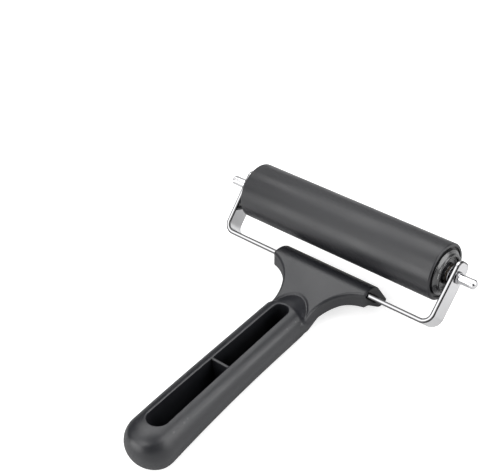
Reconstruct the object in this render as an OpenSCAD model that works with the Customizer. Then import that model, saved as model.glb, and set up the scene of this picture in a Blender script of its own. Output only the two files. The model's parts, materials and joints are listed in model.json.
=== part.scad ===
// Rubber brayer lying on its back: a moulded handle, a bent flat steel yoke and a rubber roller
// that turns on a steel axle. +Z is up from the table, +Y points from the handle to the roller
// and +X runs along the axle. The origin is on the table, under the middle of the whole tool.

/* [Roller] */
// Length of the rubber
roller_len = 100; // [80:1:120]
// Outside diameter of the rubber
roller_d = 25; // [23:0.5:27]
// Wall of the rubber sleeve
rubber_wall = 3.5; // [3:0.25:4]
// Wall of the core tube inside the rubber
core_wall = 1.5; // [1:0.1:2]
// Rounding of the rubber's rims
rim_r = 1; // [0.5:0.1:1.3]
// Depth of the recess in each end of the rubber
recess_depth = 1; // [0.6:0.1:1.5]
// Land of rubber left outside each recess
recess_land = 1.4; // [1.3:0.1:1.6]

/* [End plugs and bushes] */
// Gap between the plug's flange and the wall of the recess
flange_gap = 0.8; // [0.5:0.1:1]
// How far the flange stands out of the rubber
flange_proud = 1.2; // [0.8:0.1:1.4]
// Height of the step on the flange
step_h = 0.9; // [0.6:0.1:1]
// Width of each step and land on the flange
step_w = 1.1; // [0.8:0.1:1.3]
// Depth of the ring-shaped hollow in the plug's face
face_hollow = 1.6; // [1:0.1:2]
// Length of the plug's shank inside the core tube
shank_len = 12; // [10:1:16]
// Outside radius of the bush's sleeve
bush_r = 3.3; // [3:0.1:3.6]
// Length of the bush's sleeve
bush_len = 10; // [8:1:12]
// Thickness of the bush's flange and of each thrust washer
flange_t = 0.6; // [0.5:0.05:0.65]

/* [Axle] */
// Diameter of the axle
axle_d = 4.2; // [4:0.1:4.4]
// How far each free end stands out of the yoke
axle_proud = 9; // [8:0.5:12]
// Chamfer on each free end
axle_chamfer = 0.7; // [0.4:0.1:0.9]
// Radial clearance of the axle in the yoke and in the bushes
run_gap = 0.05; // [0.03:0.01:0.08]
// Wire diameter of the snap rings
wire_d = 1; // [0.8:0.1:1.1]
// Depth of the snap ring grooves
groove_depth = 0.45; // [0.3:0.05:0.5]
// Opening of the snap rings in degrees
ring_opening = 50; // [30:5:80]

/* [Yoke] */
// Width of the flat strip
strip_w = 10; // [9:0.5:11]
// Thickness of the flat strip
strip_t = 2; // [1.8:0.1:2.2]
// Room between the end of the rubber and each arm
arm_room = 3.5; // [3.5:0.1:4]
// Distance from the axle back to the bar
bar_back = 21.1; // [20.5:0.1:22]
// How far the arms reach past the axle
tip_reach = 7; // [6:0.5:8]
// Rounding of the arm tips
tip_r = 3.5; // [2.5:0.5:4.5]
// Inside radius of the two bends
bend_r = 3.2; // [2.5:0.1:4]
// How far the middle of the strip lies under the axle, square to the arms
strip_drop = 0.8; // [0:0.1:1.5]
// Slope of the arms to the table, in degrees
yoke_tilt = 36.6; // [35:0.1:38]
// Height of the axle over the table
axle_h = 23.3; // [22.8:0.1:24]
// Diameter of the holes that key the bar into the handle
key_d = 3.4; // [3:0.1:4]
// Distance of each key hole from the middle of the bar
key_x = 14; // [12:1:16]

/* [Head of the handle] */
// Width of the head
head_w = 49.2; // [48:0.2:52]
// Distance from the axle back to the foot of the front face
foot_back = 8; // [7.8:0.1:8.6]
// Radius of the nose along the front top edge
nose_r = 3; // [2.8:0.1:3.2]
// Distance from the axle back to the nose's centre
nose_back = 17.3; // [17:0.1:17.6]
// Height of the nose's centre
nose_h = 13; // [12.8:0.1:13.2]
// Distance from the axle back to the valley behind the head
valley_back = 34.2; // [33:0.1:36]
// Height of the valley
valley_h = 12.4; // [12:0.1:13]
// Radius of the hollow curve of each flank
flank_r = 19.5; // [18:0.5:21]
// Half width of the waist, where the flanks end
waist_half = 9.6; // [9.2:0.1:9.8]
// Distance from the axle back to the waist
waist_back = 41; // [40:0.5:42]
// Length of the flat foot under the front of the head
foot_len = 5.3; // [4:0.1:6]
// Distance from the axle back to the rear edge of the cheeks
cheek_back = 22.8; // [22:0.1:24]
// Height of the underside at the rear edge of the cheeks
cheek_low = 9.3; // [8:0.1:10]
// Height of the underside at the waist
waist_low = 4; // [3:0.5:6]

/* [Grip] */
// Distance from the axle back to the end of the butt
butt_back = 137; // [130:1:144]
// Radius of the grip at the neck
neck_r = 10.2; // [9.8:0.1:10.5]
// Radius of the grip at the butt
butt_r = 11.4; // [11:0.1:11.8]
// Height of the grip's axis at the neck
neck_h = 7.8; // [7.4:0.1:8.6]
// Height of the grip's axis at the butt
butt_h = 12; // [11.6:0.1:12.4]
// Distance from the axle back to the near end of the pocket
pocket_back = 44.2; // [43:0.1:46]
// Land between the top of the slope behind the head and the pocket
rim_land = 1.2; // [0.8:0.1:2]
// Length of the pocket
pocket_len = 81; // [74:1:82]
// Half width of the pocket near the head
pocket_near = 3.9; // [3.5:0.1:4.2]
// Half width of the pocket near the butt
pocket_far = 4.9; // [4.4:0.1:5.2]
// Height of the pocket's floor
pocket_floor = 3.2; // [2.4:0.1:4]
// How far the ridge starts below the rim
ridge_low = 0.3; // [0.2:0.1:0.6]
// Diameter of the flat gate mark at the end of the butt
gate_d = 1.4; // [1:0.1:2]
// Height of the rim at the near end of the pocket
rim_h = 15.2; // [14.8:0.1:15.6]
// Slope of the rim to the table, in degrees
rim_tilt = 4.35; // [4:0.05:4.6]
// Thickness of the rib across the pocket
rib_t = 1.2; // [1:0.1:2]
// How far the rib's edge lies below the rim
rib_low = 0.7; // [0.3:0.1:1.5]

/* [Hidden] */
$fn = 96;

plastic = [0.20, 0.20, 0.21];
rubber = [0.17, 0.17, 0.18];
chrome = [0.86, 0.86, 0.88];
steel = [0.70, 0.71, 0.73];
brass = [0.78, 0.64, 0.36];
acetal = [0.10, 0.10, 0.11];

eps = 0.01;
ridge_base = 8.5;
roller_r = roller_d / 2;
core_r = roller_r - rubber_wall;
bore_r = core_r - core_wall;
recess_r = roller_r - recess_land;
half_len = roller_len / 2;
core_half = half_len - recess_depth;
flange_r = recess_r - flange_gap;
flange_x = half_len + flange_proud;
face_x = flange_x + step_h;
hub_r = bush_r + step_w;
arm_x = half_len + arm_room;
arm_out = arm_x + strip_t;
axle_r = axle_d / 2;
hole_r = axle_r + run_gap;
ring_r = axle_r - groove_depth + wire_d / 2;
ring_x = arm_out + run_gap + wire_d / 2;
axle_end = arm_out + axle_proud;
end_play = (arm_x - face_x - 2 * flange_t) / 3;
bend_out = bend_r + strip_t;
bar_rear = bar_back + strip_t;
butt_y = butt_back - butt_r;
crest = pocket_back - rim_land;
nose_top = nose_h + nose_r;
fall = (nose_top - valley_h) / (valley_back - nose_back);
axle_y = (butt_back - roller_r) / 2;

// Places a piece whose own zero is on the table under the axle.
module under_axle() translate([0, axle_y, 0]) children();

// Places a piece whose own zero is the middle of the axle.
module on_axle() translate([0, axle_y, axle_h]) children();

// Turns a piece that stands along +Z so that it lies along +X, or along -X for side -1.
module along_x(side = 1) on_axle() rotate([0, 90 * side, 0]) children();

// Spins an outline of [radius, distance along the axle] points round the axle.
module turned(side = 1) along_x(side) rotate_extrude() children();

// A plate with the outline of its children in the Y-Z plane, w wide and centred on X = 0.
module side_plate(w)
  translate([-w / 2, 0, 0]) rotate([90, 0, 90]) linear_extrude(w) children();

// ---- handle ----

// Height of the rim plane, and of the head's top plane, at a distance back from the axle.
function rim_at(back) = rim_h + (back - pocket_back) * tan(rim_tilt);
function top_at(back) = nose_top - (back - nose_back) * fall;

// Outline of the handle seen from the side: table, butt, rim, shoulder, head and nose.
module side_outline() {
  far = butt_back + 1;
  step = (crest - rim_at(crest) + nose_top + nose_back * fall) / (1 + fall);
  reach = nose_back - foot_back;
  slope = atan2(nose_h, reach) - asin(nose_r / norm([reach, nose_h]));
  front = [nose_r * sin(slope) - nose_back, nose_h + nose_r * cos(slope)];
  polygon([
    [-foot_back, 0], [-far, 0], [-far, rim_at(far)], [-crest, rim_at(crest)],
    [-step, top_at(step)], [-nose_back, nose_top], [-nose_back, nose_h], front
  ]);
  translate([-nose_back, nose_h]) circle(nose_r);
}

// Round ridge that runs down from the shoulder and dips into the head's top in an arch.
module ridge() {
  drop = atan2(rim_at(crest) - ridge_low - valley_h, crest - valley_back);
  intersection() {
    translate([0, -valley_back, valley_h]) rotate([-90 - drop, 0, 0]) translate([0, neck_r, 0])
      cylinder(h = roller_len, r = neck_r, center = true);
    translate([-neck_r, -crest - 1, ridge_base])
      cube([2 * neck_r, crest - valley_back + 5, rim_h - ridge_base]);
  }
}

// Outline of the head seen from above: two flat cheeks, and two hollow flanks to the waist.
module head_outline() {
  difference() {
    translate([-head_w / 2, -waist_back]) square([head_w, waist_back]);
    for (side = [-1, 1]) translate([side * (waist_half + flank_r), -waist_back]) circle(flank_r);
  }
}

// The head's underside seen from the side: the foot, the cheeks' slope and the rise to the waist.
module head_side() polygon([
  [0, 0], [0, roller_d], [-waist_back - 1, roller_d], [-waist_back - 1, waist_low],
  [-cheek_back, cheek_low], [-foot_back - foot_len, 0]
]);

module head() intersection() {
  linear_extrude(roller_d) head_outline();
  side_plate(head_w + 1) head_side();
}

// Keel under the head that carries the grip's round belly on to the foot.
module keel() {
  run = valley_back - nose_back;
  translate([0, -valley_back, neck_h]) rotate([-90, 0, 0])
    cylinder(h = run, r1 = neck_r, r2 = neck_r - run / 4);
}

// Round body of the grip with a domed butt.
module grip_body() {
  run = norm([butt_y - valley_back, butt_h - neck_h]);
  lift = atan2(butt_h - neck_h, butt_y - valley_back);
  translate([0, -valley_back, neck_h]) rotate([90 - lift, 0, 0]) rotate_extrude() {
    polygon([[0, 0], [neck_r, 0], [butt_r, run], [0, run]]);
    translate([0, run]) intersection() {
      circle(butt_r);
      square([butt_r, sqrt(butt_r * butt_r - gate_d * gate_d / 4)]);
    }
  }
}

// Long pocket with round ends, open at the rim.
module pocket() {
  near = -pocket_back - pocket_near;
  far = -pocket_back - pocket_len + pocket_far;
  translate([0, 0, pocket_floor])
    linear_extrude(roller_d) {
      translate([0, near]) circle(pocket_near);
      translate([0, far]) circle(pocket_far);
      polygon([[-pocket_near, near], [pocket_near, near], [pocket_far, far], [-pocket_far, far]]);
    }
}

// Thin wall across the middle of the pocket.
module rib() {
  middle = pocket_back + pocket_len / 2;
  top = rim_at(middle) - rib_low;
  translate([-pocket_far, -middle - rib_t / 2, pocket_floor - eps])
    cube([2 * pocket_far, rib_t, top - pocket_floor]);
}

module handle() color(plastic) under_axle() {
  difference() {
    union() {
      intersection() {
        side_plate(head_w + 2) side_outline();
        union() {
          head();
          keel();
          grip_body();
        }
      }
      ridge();
    }
    pocket();
    translate([0, 0, axle_h]) yoke_blank();
  }
  rib();
}

// ---- yoke ----

// The U seen square to its own plane, with the axle along X at its zero.
module u_outline() {
  straight = arm_out - bend_out;
  translate([-straight, -bar_rear]) square([2 * straight, strip_t]);
  for (side = [0, 1]) mirror([side, 0]) {
    translate([arm_x, bend_out - bar_rear])
      square([strip_t, bar_rear - bend_out + tip_reach]);
    translate([straight, bend_out - bar_rear]) intersection() {
      difference() {
        circle(bend_out);
        circle(bend_r);
      }
      translate([0, -bend_out]) square(bend_out);
    }
  }
}

// Outline of an arm seen along the axle, with round corners at its tip.
module arm_outline() {
  half = strip_w / 2;
  translate([-bar_rear - 1, -half]) square([bar_rear + 1 + tip_reach - tip_r, strip_w]);
  translate([0, tip_r - half]) square([tip_reach, strip_w - 2 * tip_r]);
  for (z = [tip_r - half, half - tip_r]) translate([tip_reach - tip_r, z]) circle(tip_r);
}

// The bent strip with its key holes, before the axle holes are made.
module yoke_blank() rotate([yoke_tilt, 0, 0]) translate([0, 0, -strip_drop]) difference() {
  intersection() {
    translate([0, 0, -strip_w / 2]) linear_extrude(strip_w) u_outline();
    side_plate(2 * arm_out + 1) arm_outline();
  }
  for (side = [-1, 1])
    translate([side * key_x, -bar_rear - 1, 0]) rotate([-90, 0, 0]) cylinder(h = strip_t + 2, d = key_d);
}

module yoke() color(chrome) difference() {
  on_axle() yoke_blank();
  along_x() cylinder(h = 2 * arm_out + 2, r = hole_r, center = true);
}

// ---- axle and what rides on it ----

// Half of the axle's outline, from its middle to its chamfered free end.
module axle_half() {
  neck = axle_r - groove_depth;
  land = wire_d / 2 + run_gap;
  polygon([
    [0, -eps], [axle_r, -eps], [axle_r, ring_x - land], [neck, ring_x - land],
    [neck, ring_x + land], [axle_r, ring_x + land], [axle_r, axle_end - axle_chamfer],
    [axle_r - axle_chamfer, axle_end], [0, axle_end]
  ]);
}

module axle() color(steel) {
  turned(1) axle_half();
  turned(-1) axle_half();
}

module snap_ring(side) color(steel) along_x(side)
  translate([0, 0, ring_x])
    rotate([0, 0, 90 + ring_opening / 2])
      rotate_extrude(angle = 360 - ring_opening) translate([ring_r, 0]) circle(wire_d / 2, $fn = 32);

module left_snap_ring() snap_ring(-1);
module right_snap_ring() snap_ring(1);

module thrust_washer(side) color(steel) turned(side)
  translate([hole_r, arm_x - end_play / 2 - flange_t]) square([hub_r - hole_r, flange_t]);

module left_thrust_washer() thrust_washer(-1);
module right_thrust_washer() thrust_washer(1);

// ---- roller ----

// Rubber with round rims and a recess in each end.
module rubber_sleeve() color(rubber) turned() {
  for (side = [0, 1]) mirror([0, side]) {
    translate([core_r, -eps]) square([rubber_wall, half_len - rim_r + eps]);
    translate([core_r, 0]) square([rubber_wall - recess_land, core_half]);
    translate([recess_r, 0]) square([recess_land - rim_r, half_len]);
    translate([roller_r - rim_r, half_len - rim_r]) circle(rim_r, $fn = 48);
  }
}

module core_tube() color(steel) turned() translate([bore_r, -core_half])
  square([core_wall, 2 * core_half]);

// Stepped plug: a shank in the core tube, a flange in the rubber's recess and a hollow face.
module end_plug(side) color(acetal) turned(side) {
  groove = flange_r - 2 * step_w;
  difference() {
    union() {
      translate([bush_r, core_half - shank_len]) square([bore_r - bush_r, shank_len]);
      translate([bush_r, core_half]) square([flange_r - bush_r, flange_x - core_half]);
      translate([bush_r, core_half]) square([flange_r - step_w - bush_r, face_x - core_half]);
    }
    translate([hub_r, face_x - face_hollow]) square([groove - hub_r, face_hollow + 1]);
  }
}

module left_end_plug() end_plug(-1);
module right_end_plug() end_plug(1);

// Flanged bush pressed into the plug; its flange bears on the thrust washer.
module bush(side) color(brass) turned(side) {
  translate([hole_r, face_x - bush_len]) square([bush_r - hole_r, bush_len + eps]);
  translate([hole_r, face_x]) square([hub_r - hole_r, flange_t]);
}

module left_bush() bush(-1);
module right_bush() bush(1);

handle();
yoke();
axle();
left_snap_ring();
right_snap_ring();
left_thrust_washer();
right_thrust_washer();
rubber_sleeve();
core_tube();
left_end_plug();
right_end_plug();
left_bush();
right_bush();
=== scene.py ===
"""Rubber brayer on a pale table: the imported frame, finished pieces, soft studio light, camera."""
import json
import math

import bpy
import numpy as np
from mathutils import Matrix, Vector


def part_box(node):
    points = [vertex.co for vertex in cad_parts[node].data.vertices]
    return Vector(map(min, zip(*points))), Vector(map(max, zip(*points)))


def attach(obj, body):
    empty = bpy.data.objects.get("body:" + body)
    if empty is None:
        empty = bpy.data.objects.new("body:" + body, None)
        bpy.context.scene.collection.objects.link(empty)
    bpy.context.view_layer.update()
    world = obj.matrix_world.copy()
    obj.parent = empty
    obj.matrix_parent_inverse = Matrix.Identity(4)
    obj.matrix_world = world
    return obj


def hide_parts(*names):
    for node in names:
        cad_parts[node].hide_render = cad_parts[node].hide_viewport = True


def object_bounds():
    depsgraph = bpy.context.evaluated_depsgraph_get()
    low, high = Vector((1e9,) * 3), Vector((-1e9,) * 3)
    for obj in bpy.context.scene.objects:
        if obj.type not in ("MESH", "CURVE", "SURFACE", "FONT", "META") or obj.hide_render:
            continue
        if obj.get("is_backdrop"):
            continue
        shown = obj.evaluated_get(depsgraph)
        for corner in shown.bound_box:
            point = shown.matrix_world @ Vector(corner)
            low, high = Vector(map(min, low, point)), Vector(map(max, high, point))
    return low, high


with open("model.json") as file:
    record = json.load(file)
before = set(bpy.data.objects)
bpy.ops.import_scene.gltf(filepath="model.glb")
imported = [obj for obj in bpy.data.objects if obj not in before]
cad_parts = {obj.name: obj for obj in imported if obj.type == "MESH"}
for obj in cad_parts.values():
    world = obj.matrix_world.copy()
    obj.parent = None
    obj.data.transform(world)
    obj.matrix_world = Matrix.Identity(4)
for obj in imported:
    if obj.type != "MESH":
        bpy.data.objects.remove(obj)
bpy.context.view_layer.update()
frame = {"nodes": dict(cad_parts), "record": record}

MM = 0.001

# Sizes are in millimetres, unless a comment says metres. Places along y are told from the
# axle, and heights from the table.
AXLE_Y, AXLE_Z = (v / MM for v in frame["record"]["behaviour"]["joints"][0]["pos_m"][1:])


def span(node):
    """Lowest and highest corner of a CAD node in millimetres."""
    low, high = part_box(node)
    return np.array(low) / MM, np.array(high) / MM


# ---- fields: negative inside, near to a distance in millimetres ----

def fillet_cut(a, b, r):
    """Where both a and b are solid, with the edge between them rounded to r."""
    u, v = np.maximum(a + r, 0), np.maximum(b + r, 0)
    return np.minimum(np.maximum(a, b), -r) + np.hypot(u, v)


def fillet_join(a, b, r):
    """Where a or b is solid, with the corner between them filled to r."""
    u, v = np.maximum(r - a, 0), np.maximum(r - b, 0)
    return np.maximum(np.minimum(a, b), r) - np.hypot(u, v)


def ramp(t):
    """0 below 0, 1 above 1, and straight between."""
    return np.clip(t, 0, 1)


def ease(t):
    """0 below 0, 1 above 1, and a smooth rise between."""
    t = ramp(t)
    return t * t * (3 - 2 * t)


def spaced(*stops):
    """Grid positions from stops of (start, spacing); the last start ends the row."""
    rows = [np.arange(a, b, step) for (a, step), (b, _) in zip(stops, stops[1:])]
    return np.concatenate(rows)


SETTLING_STEPS = 5   # moves of each point onto the surface
FLAT_SLOPE = 1e-3    # least squared slope that a move is divided by


def surface_net(field, axes):
    """Quads on the zero surface of field over a grid. Returns points, outward normals, quads."""
    f = field(axes[0][:, None, None], axes[1][None, :, None], axes[2][None, None, :])
    f = np.ascontiguousarray(np.broadcast_to(f, [len(a) for a in axes]))
    inside = f < 0
    cells = tuple(n - 1 for n in f.shape)
    ids, crossings, rings = [], [], []
    for axis in range(3):
        lower, upper = [slice(None)] * 3, [slice(None)] * 3
        lower[axis], upper[axis] = slice(None, -1), slice(1, None)
        near, far = inside[tuple(lower)], inside[tuple(upper)]
        at = np.argwhere(near != far)
        a = f[tuple(lower)][tuple(at.T)]
        b = f[tuple(upper)][tuple(at.T)]
        crossing = at.astype(float)
        crossing[:, axis] += a / (a - b)
        ring = []
        for one, two in ((-1, -1), (0, -1), (0, 0), (-1, 0)):
            cell = at.copy()
            cell[:, (axis + 1) % 3] += one
            cell[:, (axis + 2) % 3] += two
            ring.append(np.ravel_multi_index(tuple(cell.T), cells, mode="clip"))
            crossings.append(crossing)
        ids += ring
        ring = np.stack(ring, 1)
        leaving = near[tuple(at.T)]
        ring[~leaving] = ring[~leaving][:, ::-1]
        rings.append(ring)
    unique, where = np.unique(np.concatenate(ids), return_inverse=True)
    crossings = np.concatenate(crossings)
    share = np.bincount(where)
    points = np.stack([np.bincount(where, crossings[:, k]) / share for k in range(3)], 1)
    points = np.stack([np.interp(points[:, k], np.arange(len(a)), a)
                       for k, a in enumerate(axes)], 1)
    reach = min(np.diff(a).min() for a in axes) / 2
    quads = np.searchsorted(unique, np.concatenate(rings))
    for _ in range(SETTLING_STEPS):
        slope, value = gradient(field, points)
        move = slope * (value / np.maximum((slope**2).sum(1), FLAT_SLOPE))[:, None]
        points -= np.clip(move, -reach, reach)
    slope, _ = gradient(field, points)
    return points, slope / np.linalg.norm(slope, axis=1)[:, None], quads


def gradient(field, points, h=0.03):
    """Slope and value of field at each point."""
    slope = np.empty_like(points)
    for axis in range(3):
        step = np.zeros(3)
        step[axis] = h
        slope[:, axis] = (field(*(points + step).T) - field(*(points - step).T)) / (2 * h)
    return slope, field(*points.T)


# ---- handle: _BACK is told from the axle towards the butt, _H and _LOW up from the table ----

RIM_SLOPE = math.tan(math.radians(4.35))
RIM_H = 15.2                   # at the pocket's near end
RIM_ROLL, BACK_ROLL = 3.0, 1.5

POCKET_NEAR, POCKET_FAR = 44.2, 125.2
POCKET_NEAR_R = 3.9
POCKET_WIDENING = 1.0          # how much larger the radius is at the far end
POCKET_DRAFT = 0.02            # how much the walls close in, per depth
POCKET_FLOOR, POCKET_FLOOR_ROLL, POCKET_LIP = 3.2, 1.5, 0.6

RIB_MIDDLE = (POCKET_NEAR + POCKET_FAR) / 2
RIB_T, RIB_BELOW_RIM, RIB_ROLL = 1.2, 0.7, 0.35
RIB_REACH, RIB_ROOT = 6, 2.5   # both lie inside the pocket's walls and floor

GRIP_R, GRIP_DROP = 10.25, 7.4               # radius, and how far its middle is below the rim
SWELL_BACK, SWELL_LENGTH = 60, 70            # where the grip starts to swell towards the butt
SWELL_R, SWELL_R_CURVE = 1.3, 1.6
SWELL_DROP, SWELL_DROP_CURVE = 2.7, 2.3
TAPER_BACK, TAPER, TAPER_SOFT = 43, 0.16, 2.5   # the grip thins towards the head
BUTT = AXLE_Y - span("handle")[0][1]
DOME, DOME_R = 11.2, 11.55     # length and radius of the butt's dome
GRIP_FRONT_BACK, GRIP_FRONT_ROLL = 12, 2.0   # the grip's front end, inside the head

RIDGE_BACK, RIDGE_H, RIDGE_R = 43.4, 15.3, 10.3
RIDGE_FALL, RIDGE_RISE, RIDGE_BEND = 0.385, 0.95, 0.8   # ahead of RIDGE_BACK, behind, between
RIDGE_FLANK, RIDGE_FLANK_SOFT = 6, 4         # where its side stops falling, squared mm
RIDGE_ROLL, RIDGE_SCALE = 0.9, 0.9           # the scale turns its height near to a distance

HEAD_SLOPE, VALLEY_BACK, VALLEY_H = 0.2077, 21.2, 15.35
NOSE_Y, NOSE_Z = 0.919, 0.396  # which way the front plane faces
NOSE_BACK, NOSE_LOW, NOSE_ROLL = 7.5, 0.4, 7.5
HEEL_Y, HEEL_Z, HEEL_BACK = 0.714, 0.7, 13.3    # the plane behind the foot
HEEL_BEND, UNDER_ROLL = 4.5, 0.9
WAIST_LOW, CHEEK_LOW, CHEEK_BACK = 5.2, 9.3, 22.8   # height of the underside
UNDER_SLOPE, UNDER_SOFT = 0.276, 1.0
FLARE, FLARE_BELOW_TOP = 0.22, 2             # the flanks widen downwards
FLARE_FADE_BACK, FADE_LENGTH = 26, 16
FLANK_R, FLANK_X, WAIST_BACK = 19.5, 29.1, 41
WAIST_HALF, WAIST_PINCH = 9.6, 3.6           # the neck narrows again inside the grip
BEYOND_FLANK = -5              # any value well inside
HEAD_HALF, HEAD_TAIL_BACK = 24.6, 56
HEAD_SIDE_ROLL, HEAD_EDGE_ROLL, FOOT_ROLL = 0.7, 1.1, 0.5
ARCH_DEPTH, ARCH_ROLL = 0.75, 0.85           # step between the arch and the head's top
ARCH_FALL = 0.35               # squared slope of the ridge's crown against the head's top
ARCH_SIDE, ARCH_FLANK, ARCH_FLANK_SOFT = 94, 12, 6   # as the ridge's side, squared mm

JOIN_ARCH, JOIN_SIDE = 0.8, 2.7              # grip to head, and what the sides add
JOIN_X, JOIN_X_SOFT, JOIN_BACK, JOIN_BACK_SOFT = 7.9, 2.6, 57, 14
MOUTH_GAP, MOUTH_X, MOUTH_ROLL = 0.22, 22.6, 0.3


def soft_rise(t, width):
    """0 well below 0, t well above 0, with a round bend between."""
    return (t + np.hypot(t, width)) / 2


def rim_at(back):
    """Height of the grip's flat rim."""
    return RIM_H + (back - POCKET_NEAR) * RIM_SLOPE


def head_top(y):
    """Height of the head's flat top, which falls from the nose to the neck."""
    return VALLEY_H + HEAD_SLOPE * (y + VALLEY_BACK)


def ridge_top(x, y):
    """Height of the round ridge that runs from the shoulder down into the head."""
    ahead = y + RIDGE_BACK
    crown = RIDGE_H - RIDGE_FALL * ahead + RIDGE_RISE * soft_rise(-ahead, RIDGE_BEND)
    beside = RIDGE_R * RIDGE_R - RIDGE_FLANK - x * x
    return crown - RIDGE_R + np.sqrt(RIDGE_FLANK + soft_rise(beside, RIDGE_FLANK_SOFT))


def grip_field(x, y, z):
    """Round body of the grip with its flat rim, shoulder and domed butt."""
    back = -y
    swell = ramp((back - SWELL_BACK) / SWELL_LENGTH)
    taper = 2 * TAPER * soft_rise(TAPER_BACK - back, TAPER_SOFT)
    radius = GRIP_R + SWELL_R * swell**SWELL_R_CURVE - taper
    rim = rim_at(back)
    centre = rim - GRIP_DROP - SWELL_DROP * swell**SWELL_DROP_CURVE
    blunt = np.maximum(back - (BUTT - DOME), 0) * (DOME_R / DOME)
    body = np.sqrt(x * x + (z - centre) ** 2 + blunt * blunt) - radius
    body = fillet_cut(body, (z - rim) / math.hypot(1, RIM_SLOPE), RIM_ROLL)
    body = fillet_cut(body, (z - ridge_top(x, y)) * RIDGE_SCALE, RIDGE_ROLL)
    body = fillet_cut(body, y + GRIP_FRONT_BACK, GRIP_FRONT_ROLL)
    return fillet_cut(body, -z, BACK_ROLL)


def head_profile(y, z):
    """The head seen from the side: flat top, rolled nose, foot, and an underside that climbs."""
    top = (z - head_top(y)) / math.hypot(1, HEAD_SLOPE)
    front = NOSE_Y * (y + NOSE_BACK) + NOSE_Z * (z - NOSE_LOW)
    heel = -HEEL_Z * z - HEEL_Y * (y + HEEL_BACK)
    climb = CHEEK_LOW - WAIST_LOW + UNDER_SLOPE * (y + CHEEK_BACK)
    under = WAIST_LOW + soft_rise(climb, UNDER_SOFT) - z
    below = fillet_join(heel, under, HEEL_BEND)
    return fillet_cut(fillet_cut(top, front, NOSE_ROLL), below, UNDER_ROLL)


def head_plan(x, y, z):
    """The head seen from above: a fan with hollow flanks that widen downwards."""
    width = np.abs(x)
    flare = FLARE * np.maximum(head_top(y) - FLARE_BELOW_TOP - z, 0)
    flare = flare * (1 - ramp((-y - FLARE_FADE_BACK) / FADE_LENGTH))
    flank = FLANK_R - flare - np.hypot(width - FLANK_X, y + WAIST_BACK)
    pinch = WAIST_PINCH * ramp((-y - WAIST_BACK) / FADE_LENGTH)**2
    flank = np.where(y < -WAIST_BACK, width - WAIST_HALF - flare + pinch, flank)
    flank = np.where(width > FLANK_X, BEYOND_FLANK, flank)
    plan = fillet_cut(flank, width - HEAD_HALF, HEAD_SIDE_ROLL)
    return np.maximum(plan, -HEAD_TAIL_BACK - y)


def head_field(x, y, z):
    """Fan-shaped head, cut back to a step where the ridge runs into it."""
    head = fillet_cut(head_profile(y, z), head_plan(x, y, z), HEAD_EDGE_ROLL)
    rise = ridge_top(x, y) - head_top(y) + ARCH_DEPTH
    beside = soft_rise(ARCH_SIDE - x * x, ARCH_FLANK_SOFT)
    steep = np.sqrt(ARCH_FALL + x * x / (ARCH_FLANK + beside))
    head = fillet_cut(head, rise / steep, ARCH_ROLL)
    return fillet_cut(head, -z, FOOT_ROLL)


def pocket_field(x, y, z):
    """Long pocket with round ends, walls that close in a little, and a flat floor."""
    near, far = POCKET_NEAR + POCKET_NEAR_R, POCKET_FAR - POCKET_NEAR_R - POCKET_WIDENING
    along = ramp((-y - near) / (far - near))
    radius = POCKET_NEAR_R + along * POCKET_WIDENING
    edge = np.hypot(x, y + near + along * (far - near)) - radius
    edge = edge + POCKET_DRAFT * (rim_at(-y) - z)
    return fillet_cut(edge, POCKET_FLOOR - z, POCKET_FLOOR_ROLL)


def rib_field(x, y, z):
    """Thin wall across the middle of the pocket, a little below the rim."""
    side = np.abs(y + RIB_MIDDLE) - RIB_T / 2
    wall = fillet_cut(side, z - rim_at(RIB_MIDDLE) + RIB_BELOW_RIM, RIB_ROLL)
    return np.maximum(np.maximum(wall, np.abs(x) - RIB_REACH), RIB_ROOT - z)


def mouth_field(x, y, z):
    """Narrow gap round the strip where it leaves the head."""
    v, w = to_yoke(y, z)
    strip = np.maximum(np.abs(v + BAR_MIDDLE) - STRIP_T / 2, np.abs(w + STRIP_DROP) - STRIP_W / 2)
    return np.maximum(strip - MOUTH_GAP, MOUTH_X - np.abs(x))


def handle_field(x, y, z):
    """The whole moulding. Its neck is crisp at the arch and soft at the sides."""
    beside = ease((np.abs(x) - JOIN_X) / JOIN_X_SOFT) * ease((y + JOIN_BACK) / JOIN_BACK_SOFT)
    soft = JOIN_ARCH + JOIN_SIDE * beside
    body = fillet_join(grip_field(x, y, z), head_field(x, y, z), soft)
    body = fillet_cut(body, -pocket_field(x, y, z), POCKET_LIP)
    body = fillet_join(body, rib_field(x, y, z), RIB_ROLL)
    return fillet_cut(body, -mouth_field(x, y, z), MOUTH_ROLL)


# ---- yoke, in its own plane: v from bar to tips, w square to the arms ----

TILT = math.radians(36.6)
STRIP_T, STRIP_W, STRIP_DROP = 2.0, 10.0, 0.8
BAR_MIDDLE = 22.1    # from the axle back to the middle of the bar
TIP = 7.0            # from the axle forward to the arm tips
ARM_MIDDLE = span("yoke")[1][0] - STRIP_T / 2
BEND = 4.2           # radius of the strip's middle in the two bends
TIP_ROLL, STRIP_ROLL = 3.5, 0.5
AXLE_HOLE, HOLE_ROLL = 2.15, 0.2
HOLE_BACK = 6        # no part of the strip this far back has a hole
LEAN = 0.022         # how far the arms spread, per length


def to_yoke(y, z):
    """From the tool's y and z to the yoke's v and w."""
    z = z - AXLE_Z
    c, s = math.cos(TILT), math.sin(TILT)
    return y * c + z * s, z * c - y * s


def from_yoke(points):
    """From the yoke's own axes to the tool's, still told from the axle."""
    c, s = math.cos(TILT), math.sin(TILT)
    turn = np.array([[1, 0, 0], [0, c, s], [0, -s, c]])
    return points @ turn


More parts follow.
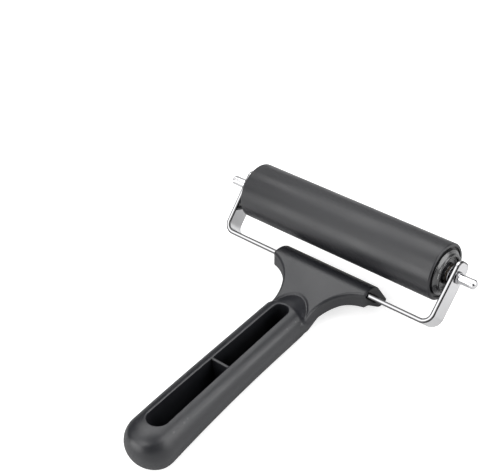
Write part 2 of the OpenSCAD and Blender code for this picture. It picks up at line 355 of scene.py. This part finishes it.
def yoke_field(x, v, w):
    """Flat strip bent to a U, with round tips, rolled edges and an axle hole in each arm."""
    a, w = np.abs(x) - LEAN * (v + BAR_MIDDLE), w + STRIP_DROP
    arm, bar = np.abs(a - ARM_MIDDLE), np.abs(v + BAR_MIDDLE)
    corner = BAR_MIDDLE - BEND
    bend = np.abs(np.hypot(a - ARM_MIDDLE + BEND, v + corner) - BEND)
    path = np.where(v > -corner, arm, np.where(a > ARM_MIDDLE - BEND, bend, bar))
    path = np.where(a < ARM_MIDDLE - BEND, np.minimum(bar, arm), path)
    outline = fillet_cut(v - TIP, np.abs(w) - STRIP_W / 2, TIP_ROLL)
    strip = fillet_cut(path - STRIP_T / 2, outline, STRIP_ROLL)
    hole = AXLE_HOLE - np.hypot(v, w - STRIP_DROP)
    return fillet_cut(strip, np.where(v > -HOLE_BACK, hole, -HOLE_BACK), HOLE_ROLL)


# ---- making pieces ----

SHARP_ANGLE = math.radians(40)
TINY = 1e-6          # shorter than any real length


def add_piece(name, points, faces, body, node, slot, normals=None):
    """One smooth mesh on a CAD body, in place of a CAD node. Points are told from the axle."""
    mesh = bpy.data.meshes.new(name)
    at = (np.asarray(points) + [0, AXLE_Y, 0]) * MM
    mesh.from_pydata(at.tolist(), [], [list(map(int, f)) for f in faces])
    mesh.validate()
    mesh.polygons.foreach_set("use_smooth", [True] * len(mesh.polygons))
    if normals is not None:
        mesh.normals_split_custom_set_from_vertices(normals.tolist())
    else:
        mesh.set_sharp_from_angle(angle=SHARP_ANGLE)
    piece = bpy.data.objects.new(name, mesh)
    bpy.context.scene.collection.objects.link(piece)
    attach(piece, body)
    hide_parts(node)
    mesh.materials.append(MATERIALS[slot])
    return piece


ARC_SHARE = 0.49     # an arc takes less than half of either side


def rounded(outline, steps=5):
    """A closed outline of (radius, along, corner radius) with each corner swapped for an arc."""
    out = []
    n = len(outline)
    for i, (r, a, bend) in enumerate(outline):
        here = np.array([r, a], float)
        one = np.array(outline[i - 1][:2], float) - here
        two = np.array(outline[(i + 1) % n][:2], float) - here
        reach_one, reach_two = np.linalg.norm(one), np.linalg.norm(two)
        one, two = one / reach_one, two / reach_two
        half = math.acos(max(-1.0, min(1.0, float(one @ two)))) / 2
        room = ARC_SHARE * min(reach_one, reach_two)
        cut = min(bend / math.tan(half), room) if bend else 0
        if cut < TINY:
            out.append(here)
            continue
        bend = cut * math.tan(half)
        middle = (one + two) / np.linalg.norm(one + two)
        centre = here + middle * bend / math.sin(half)
        start, end = here + one * cut - centre, here + two * cut - centre
        sweep = math.acos(max(-1.0, min(1.0, float(start @ end) / (bend * bend))))
        for k in range(steps + 1):
            t = k / steps
            part = (math.sin((1 - t) * sweep) * start + math.sin(t * sweep) * end)
            out.append(centre + part / math.sin(sweep))
    return out


def lathe(outline, side=1, around=128):
    """Points and faces of a closed outline spun round the axle; side -1 mirrors it.
    Its faces look outwards if the outline runs along +x on the outside."""
    outline = rounded(outline)
    points, rows = [], []
    for r, a in outline:
        count = 1 if r < TINY else around
        rows.append(range(len(points), len(points) + count))
        for k in range(count):
            turn = 2 * math.pi * k / around
            points.append((side * a, r * math.cos(turn), AXLE_Z + r * math.sin(turn)))
    faces = []
    for i, low in enumerate(rows):
        high = rows[(i + 1) % len(rows)]
        if len(low) == len(high) == 1:
            continue
        for k in range(around):
            quad = [low[k % len(low)], low[(k + 1) % len(low)],
                    high[(k + 1) % len(high)], high[k % len(high)]]
            quad = list(dict.fromkeys(quad))
            faces.append(quad if side > 0 else quad[::-1])
    return points, faces


CAP_ANGLES = [math.radians(a) for a in (90, 60, 30)]   # rows of a wire's round end
CAP_TIP = 0.02                                         # the last row's share of the radius


def tube(path, radius, around=20):
    """Points and faces of a round wire along a path, with rounded ends."""
    path = np.array(path, float)
    ahead = np.gradient(path, axis=0)
    ahead /= np.linalg.norm(ahead, axis=1)[:, None]
    side = np.array([1.0, 0, 0])
    stations = [(0, -math.sin(c) * radius, math.cos(c) * radius) for c in CAP_ANGLES]
    stations += [(i, 0, radius) for i in range(len(path))]
    stations += [(-1, math.sin(c) * radius, math.cos(c) * radius) for c in CAP_ANGLES[::-1]]
    points, faces = [], []
    for i, push, r in stations:
        other = np.cross(ahead[i], side)
        for k in range(around):
            turn = 2 * math.pi * k / around
            ring = side * math.cos(turn) + other * math.sin(turn)
            points.append(path[i] + ahead[i] * push + ring * max(r, CAP_TIP * radius))
    for i in range(len(stations) - 1):
        for k in range(around):
            n = (k + 1) % around
            faces.append([i * around + k, i * around + n,
                          (i + 1) * around + n, (i + 1) * around + k])
    faces.append(list(range(around))[::-1])
    faces.append([(len(stations) - 1) * around + k for k in range(around)])
    return points, faces


# ---- materials ----

MIX_FACTOR, MIX_A, MIX_B, MIX_RESULT = 0, 6, 7, 2    # a mix node's colour sockets
CLOUD_SCALE, CLOUD_DETAIL, GRAIN_DETAIL = 55, 3, 4
NOISE_RANGE = (0.3, 0.7)             # where most of a noise's values lie
# Pointiness ranges: on plastic they mark pale wear on the edges, on metal a painted reflection that
# darkens them.
METAL_SHADED_EDGE, PLASTIC_EDGE = (0.503, 0.522), (0.52, 0.62)   # pointiness from flat to edge
METAL_EDGE_PAINTED_DARK = 0.04              # painted reflection: a metal's rolled edges are darkened in colour as if they mirrored the dark room
PLASTIC_EDGE_SHARE, PLASTIC_EDGE_LIFT = 2.2, 0.02
SIDE_SHEEN, SIDE_FADE = 0.05, 0.35   # sheen left on a surface seen from the side
# Painted shade in hollows: an occlusion test darkens the colour and sheen of recesses.
HOLLOW_SHADE_SAMPLES, HOLLOW_SHADE_RANGE = 8, (0.2, 0.6)
HOLLOW_SHADED_SHEEN, HOLLOW_SHADED_COLOUR = 0.1, 0.2               # painted shade: what a deep hollow keeps of each
GLOW_IN_MIRRORS = 0.3                # how much of a glow shows in reflections


def finish_of(slot, base, rough, metallic=0.0, grain=(900, 900, 900), depth=0.02, shade=0.12,
              rough_shift=0.06, edge=0.0, specular=0.5, rim=0.0, hollow_shade_reach=0.0, glow=0.0):
    """A procedural finish: uneven colour and sheen, and fine grain at a scale per metre whose
    bumps are depth millimetres high.
    edge marks the rolled edges: pale wear on plastic, and on metal a painted reflection that
    darkens them as if they mirrored the dark room. From rim on, the more a surface turns from
    the eye, the less it shines. cavity paints shade into hollows narrower than so many
    millimetres, darkening their colour and dulling their sheen. glow is light of its own, for
    the eye and in part for reflections."""
    mat = bpy.data.materials.new(slot)
    mat.use_nodes = True
    tree = mat.node_tree
    surface = tree.nodes["Principled BSDF"]
    new, link = tree.nodes.new, tree.links.new

    def put(socket, source):
        link(source, surface.inputs[socket])

    def blend(kind, factor, a, b):
        node = new("ShaderNodeMix")
        node.data_type = "RGBA"
        node.blend_type = kind
        for at, value in ((MIX_FACTOR, factor), (MIX_A, a), (MIX_B, b)):
            if isinstance(value, bpy.types.NodeSocket):
                link(value, node.inputs[at])
            else:
                node.inputs[at].default_value = value
        return node.outputs[MIX_RESULT]

    def math_of(operation, *values):
        node = new("ShaderNodeMath")
        node.operation = operation
        for at, value in enumerate(values):
            if isinstance(value, bpy.types.NodeSocket):
                link(value, node.inputs[at])
            else:
                node.inputs[at].default_value = value
        return node.outputs["Value"]

    def noise(scale, detail, stretch=None):
        node = new("ShaderNodeTexNoise")
        node.inputs["Scale"].default_value = scale
        node.inputs["Detail"].default_value = detail
        source = place.outputs["Object"]
        if stretch:
            mapping = new("ShaderNodeMapping")
            mapping.inputs["Scale"].default_value = stretch
            link(source, mapping.inputs["Vector"])
            source = mapping.outputs["Vector"]
        link(source, node.inputs["Vector"])
        return node.outputs["Fac"]

    def spread(source, low, high, start=NOISE_RANGE[0], end=NOISE_RANGE[1]):
        """Low where the source is at start or less, high at end or more."""
        node = new("ShaderNodeMapRange")
        for name, value in (("From Min", start), ("From Max", end),
                            ("To Min", low), ("To Max", high)):
            node.inputs[name].default_value = value
        link(source, node.inputs["Value"])
        return node.outputs["Result"]

    place = new("ShaderNodeTexCoord")
    broad, fine = noise(CLOUD_SCALE, CLOUD_DETAIL), noise(1.0, GRAIN_DETAIL, grain)
    dark = tuple(c * (1 - shade) for c in base) + (1,)
    light = tuple(min(1, c * (1 + shade)) for c in base) + (1,)
    colour = blend("MIX", spread(broad, 0, 1), dark, light)
    # Rolled edges: pale wear on plastic; on metal a painted reflection that darkens them, as if
    # they mirrored the dark room.
    if edge:
        geometry = new("ShaderNodeNewGeometry")
        sharp = METAL_SHADED_EDGE if metallic else PLASTIC_EDGE
        share, lift = ((METAL_EDGE_PAINTED_DARK, 0) if metallic
                       else (PLASTIC_EDGE_SHARE, PLASTIC_EDGE_LIFT))
        edge_wear_and_shade = tuple(c * share + lift for c in base) + (1,)
        edge_wear_and_shade_mask = spread(geometry.outputs["Pointiness"], 0, edge, *sharp)
        colour = blend("MIX", edge_wear_and_shade_mask, colour, edge_wear_and_shade)
    sheen = specular
    if rim:
        facing = new("ShaderNodeLayerWeight")
        facing.inputs["Blend"].default_value = 0.5
        sheen = spread(facing.outputs["Facing"], specular, SIDE_SHEEN, rim, rim + SIDE_FADE)
    # Painted shade: recesses get a darker colour and less sheen, standing in for the shade that
    # falls in them.
    if hollow_shade_reach:
        hollow = new("ShaderNodeAmbientOcclusion")
        hollow.samples = HOLLOW_SHADE_SAMPLES
        hollow.inputs["Distance"].default_value = hollow_shade_reach * MM
        shade_openness = hollow.outputs["AO"]
        sheen = math_of("MULTIPLY", spread(shade_openness, HOLLOW_SHADED_SHEEN, 1, *HOLLOW_SHADE_RANGE), sheen)
        colour = blend("MULTIPLY", 1.0, colour,
                       spread(shade_openness, HOLLOW_SHADED_COLOUR, 1, *HOLLOW_SHADE_RANGE))
    put("Base Color", colour)
    if isinstance(sheen, bpy.types.NodeSocket):
        put("Specular IOR Level", sheen)
    else:
        surface.inputs["Specular IOR Level"].default_value = sheen
    put("Roughness", math_of("ADD", spread(broad, -rough_shift, rough_shift),
                             spread(fine, rough - rough_shift / 2, rough + rough_shift / 2)))
    bump = new("ShaderNodeBump")
    bump.inputs["Strength"].default_value = 1.0
    bump.inputs["Distance"].default_value = depth * MM
    link(fine, bump.inputs["Height"])
    put("Normal", bump.outputs["Normal"])
    surface.inputs["Metallic"].default_value = metallic
    if glow:
        rays = new("ShaderNodeLightPath")
        seen = math_of("MULTIPLY_ADD", rays.outputs["Is Glossy Ray"], GLOW_IN_MIRRORS,
                       rays.outputs["Is Camera Ray"])
        surface.inputs["Emission Color"].default_value = (1, 1, 1, 1)
        put("Emission Strength", spread(seen, 0, glow, 0, 1))
    return mat


# Grain per metre along x, y and z: streaks drawn along the axle, and turned round it.
ALONG, AROUND = (40, 1500, 1500), (2600, 120, 120)
MATERIALS = {
    # The handle's hollows get painted shade out to 11 mm.
    "handle_plastic": finish_of("handle_plastic", (0.0119, 0.0124, 0.0148), 0.36,
                                grain=(1500, 1500, 1500), depth=0.012, edge=0.5, rim=0.45,
                                hollow_shade_reach=11.0),
    "roller_rubber": finish_of("roller_rubber", (0.0134, 0.0137, 0.0158), 0.40, grain=AROUND,
                               depth=0.006, edge=0.2, rim=0.62),
    # The chrome's edge value paints dark reflections onto its rolled edges.
    "yoke_chrome": finish_of("yoke_chrome", (0.65, 0.65, 0.66), 0.07, 1.0, grain=(60, 60, 60),
                             depth=0.01, shade=0.02, rough_shift=0.03, edge=0.95),
    "axle_steel": finish_of("axle_steel", (0.56, 0.56, 0.57), 0.10, 1.0, grain=AROUND,
                            depth=0.003, shade=0.04, rough_shift=0.04),
    "ring_steel": finish_of("ring_steel", (0.32, 0.32, 0.33), 0.28, 1.0, grain=AROUND,
                            depth=0.004, shade=0.10),
    "core_aluminium": finish_of("core_aluminium", (0.70, 0.70, 0.71), 0.28, 1.0, grain=ALONG,
                                depth=0.006),
    "plug_plastic": finish_of("plug_plastic", (0.014, 0.014, 0.015), 0.26, grain=AROUND,
                              depth=0.005, edge=0.3, specular=1.0),
    "bush_bronze": finish_of("bush_bronze", (0.08, 0.065, 0.05), 0.45, 1.0,
                             grain=(5000, 5000, 5000), depth=0.02, shade=0.3),
}
TABLE = finish_of("table", (0.55, 0.55, 0.55), 0.75, grain=(700, 700, 700), depth=0.01,
                  shade=0.01, rough_shift=0.03, specular=0.2, glow=0.75)


# ---- pieces on the frame ----

handle_low, handle_high = span("handle")
coarser = 1.0
fine, plain, dome, long = (step * coarser for step in (0.34, 0.37, 0.45, 0.8))
margin, rib_margin = 1, 2            # empty grid round the handle, fine grid round the rib
BUTT_END_BACK, HEAD_START_BACK, HEAD_END_BACK = POCKET_FAR - 12, 58, 7
along = spaced((-BUTT - margin, dome), (-BUTT_END_BACK, long),
               (-RIB_MIDDLE - rib_margin, fine), (-RIB_MIDDLE + rib_margin, long),
               (-HEAD_START_BACK, fine), (-HEAD_END_BACK, 0))
# This start of the grid leaves no edge shared by more than two faces.
nudge_x, nudge_y, nudge_z = 0.25, 0.15, 0.14
across = np.arange(handle_low[0] - margin - nudge_x, handle_high[0] + margin, plain)
upward = np.arange(-margin - nudge_z, handle_high[2] + margin, plain)
points, normals, quads = surface_net(handle_field, (across, along - nudge_y, upward))
add_piece("handle_moulding", points, quads, "frame", "handle", "handle_plastic", normals)

step = 0.28 * coarser
half_width, bar_end = ARM_MIDDLE + 3, BAR_MIDDLE + 2
strip_low, strip_high = -7, 6        # just beyond the strip's two edges
points, normals, quads = surface_net(yoke_field, (
    np.arange(-half_width, half_width, step), np.arange(-bar_end, TIP + margin, step),
    np.arange(strip_low, strip_high, step)))
points = from_yoke(points) + [0, 0, AXLE_Z]
add_piece("bent_strip", points, quads, "frame", "yoke", "yoke_chrome", from_yoke(normals))

# ---- axle and what sits on it: outlines are (radius, place along x, corner radius) ----

AXLE_R, CHAMFER_R, CHAMFER = 2.1, 1.4, 0.7
GROOVE_R, GROOVE_HALF, GROOVE_ROLL = 1.65, 0.55, 0.06
BORE_R, WASHER_R = 2.15, 4.4
RING_R, RING_WIRE_R, RING_STEPS = 2.15, 0.5, 72
RING_START, RING_SWEEP = math.radians(90 + 25), math.radians(310)


def mirrored(half):
    """A closed outline from the half of it that lies at positive x."""
    return half + [(r, -a, bend) for r, a, bend in reversed(half)]


axle_end = span("axle")[1][0]
ring_low, ring_high = span("right_snap_ring")
ring_x = (ring_low[0] + ring_high[0]) / 2 + LEAN * BAR_MIDDLE
groove_near, groove_far = ring_x - GROOVE_HALF, ring_x + GROOVE_HALF
outline = mirrored([
    (AXLE_R, groove_near, GROOVE_ROLL), (GROOVE_R, groove_near, GROOVE_ROLL),
    (GROOVE_R, groove_far, GROOVE_ROLL), (AXLE_R, groove_far, GROOVE_ROLL),
    (AXLE_R, axle_end - CHAMFER, 0.25), (CHAMFER_R, axle_end, 0.15), (0, axle_end, 0)])
add_piece("axle_rod", *lathe(outline, around=96), "axle", "axle", "axle_steel")

for side, word in ((1, "right"), (-1, "left")):
    ring = []
    for k in range(RING_STEPS + 1):
        turn = RING_START + RING_SWEEP * k / RING_STEPS
        ring.append((side * ring_x, RING_R * math.sin(turn), AXLE_Z - RING_R * math.cos(turn)))
    add_piece(f"{word}_ring", *tube(ring, RING_WIRE_R), "axle", f"{word}_snap_ring",
              "ring_steel")
    low, high = span(f"{word}_thrust_washer")
    near, far = sorted((abs(low[0]), abs(high[0])))
    washer = [(BORE_R, near, 0.08), (WASHER_R, near, 0.12),
              (WASHER_R, far, 0.12), (BORE_R, far, 0.08)]
    add_piece(f"{word}_washer", *lathe(washer, side), "axle", f"{word}_thrust_washer",
              "ring_steel")

# ---- roller ----

WALL, RIM_LAND, RIM_BEND = 3.5, 1.4, 1.0       # of the rubber
RECESS, CORE_WALL = 1.0, 1.5
FLANGE_STEP, FLANGE_GAP, FLANGE_BEVEL = 0.9, 0.3, 0.9
STEP_IN, GROOVE_IN, GROOVE_DRAFT, FACE_HOLLOW = 1.7, 2.9, 0.3, 1.6
BUSH_R, BUSH_HEAD_R, HUB_R = 3.3, 4.4, 4.6

sleeve_high = span("rubber_sleeve")[1]
roller_r, half_len = sleeve_high[2] - AXLE_Z, sleeve_high[0]
core_r, recess_r = roller_r - WALL, roller_r - RIM_LAND
floor_x = half_len - RECESS
outline = mirrored([(core_r, floor_x, 0.1), (recess_r, floor_x, 0.3),
                    (recess_r, half_len, 0.25), (roller_r, half_len, RIM_BEND)])
add_piece("rubber_roller", *lathe(outline[::-1], around=192), "roller", "rubber_sleeve",
          "roller_rubber")

for side, word in ((1, "right"), (-1, "left")):
    low, high = span(f"{word}_end_plug")
    inner, face = sorted((abs(low[0]), abs(high[0])))
    plug_r, shank_r = high[2] - AXLE_Z, core_r - CORE_WALL
    flange_r, flange_x = plug_r - FLANGE_GAP, face - FLANGE_STEP
    step_r, groove_r, hollow_x = plug_r - STEP_IN, plug_r - GROOVE_IN, face - FACE_HOLLOW
    plug = [(BUSH_R, inner, 0.3), (shank_r, inner, 0.6), (shank_r, floor_x, 0.1),
            (flange_r, floor_x, 0.2), (flange_r, flange_x - FLANGE_BEVEL, 0.4),
            (step_r, flange_x, 0.3), (step_r, face, 0.4),
            (groove_r, face, 0.4), (groove_r - GROOVE_DRAFT, hollow_x, 0.4),
            (HUB_R, hollow_x, 0.3), (BUSH_HEAD_R, face, 0.2), (BUSH_R, face, 0.1)]
    add_piece(f"{word}_plug", *lathe(plug, side, 160), "roller", f"{word}_end_plug",
              "plug_plastic")
    low, high = span(f"{word}_bush")
    near, far = sorted((abs(low[0]), abs(high[0])))
    bush = [(BORE_R, near, 0.15), (BUSH_R, near, 0.3), (BUSH_R, face, 0.1),
            (BUSH_HEAD_R, face, 0.1), (BUSH_HEAD_R, far, 0.2), (BORE_R, far, 0.15)]
    add_piece(f"{word}_bushing", *lathe(bush, side, 96), "roller", f"{word}_bush",
              "bush_bronze")

core = frame["nodes"]["core_tube"]
core.data.materials.clear()
core.data.materials.append(MATERIALS["core_aluminium"])

# ---- table, light and camera ----

TABLE_SIZE, TABLE_GAP = 6, 0.0001    # metres
bpy.ops.mesh.primitive_plane_add(size=TABLE_SIZE, location=(0, 0, -TABLE_GAP))
table = bpy.context.object
table.name = "table"
table.data.materials.append(TABLE)
table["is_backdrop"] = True

world = bpy.data.worlds.new("room")
world.use_nodes = True
room = world.node_tree
rays = room.nodes.new("ShaderNodeLightPath")
# The camera sees a pale backdrop, while reflections see a dim room between the lamps.
ROOM_FILL, ROOM_IN_MIRRORS, BACKDROP = 0.10, 0.02, 0.85
for strength, ray in ((ROOM_IN_MIRRORS, "Is Glossy Ray"), (BACKDROP, "Is Camera Ray")):
    before = room.nodes["Background"].inputs["Strength"]
    choice = room.nodes.new("ShaderNodeMix")
    choice.inputs["A"].default_value, choice.inputs["B"].default_value = ROOM_FILL, strength
    if before.is_linked:
        room.links.new(before.links[0].from_socket, choice.inputs["A"])
    room.links.new(rays.outputs[ray], choice.inputs["Factor"])
    room.links.new(choice.outputs["Result"], before)
room.nodes["Background"].inputs["Color"].default_value = (1, 1, 1, 1)
bpy.context.scene.world = world


LAMP_DISTANCE = 0.9                  # metres


def soft_box(name, azimuth, elevation, width, height, radiance):
    """A rectangular lamp that looks at the middle of the tool. The azimuth is 0 at the butt and
    90 at the right, in degrees, the size is in metres, and radiance is how bright it looks."""
    a, e = math.radians(azimuth), math.radians(elevation)
    light = bpy.data.lights.new(name, "AREA")
    light.shape = "RECTANGLE"
    light.size, light.size_y = width, height
    light.energy = radiance * math.pi * width * height
    lamp = bpy.data.objects.new(name, light)
    toward = Vector((math.sin(a) * math.cos(e), -math.cos(a) * math.cos(e), math.sin(e)))
    lamp.location = toward * LAMP_DISTANCE
    lamp.rotation_euler = (-toward).to_track_quat("-Z", "Y").to_euler()
    bpy.context.scene.collection.objects.link(lamp)


soft_box("front_left", 338, 14, 0.78, 0.56, 4.2)
soft_box("front_top", 2, 50, 0.45, 0.42, 4.6)
soft_box("right", 114, 18, 0.80, 0.62, 4.0)
soft_box("right_top", 120, 52, 0.45, 0.42, 4.8)
soft_box("back_top", 220, 60, 0.80, 0.52, 3.7)
soft_box("left_top", 309, 57, 0.70, 0.78, 1.7)
soft_box("back_low", 209, 25, 0.60, 0.50, 0.8)

# The camera's place from the axle's middle and its turn in degrees, found with the photo.
EYE_FROM_AXLE, EYE_TURN = (261.0, -296.1, 356.8), (47.79, 8.35, 40.56)
LENS, SENSOR = 92.93, 36.0
NEAREST, FARTHEST = 0.01, 20         # metres
camera = bpy.data.cameras.new("camera")
camera.lens, camera.sensor_width = LENS, SENSOR
camera.clip_start, camera.clip_end = NEAREST, FARTHEST
eye = bpy.data.objects.new("camera", camera)
eye.location = (Vector((0, AXLE_Y, AXLE_Z)) + Vector(EYE_FROM_AXLE)) * MM
eye.rotation_euler = [math.radians(a) for a in EYE_TURN]
bpy.context.scene.collection.objects.link(eye)
bpy.context.scene.camera = eye

look = bpy.context.scene.view_settings
look.view_transform, look.look = "Standard", "None"

low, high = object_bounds()
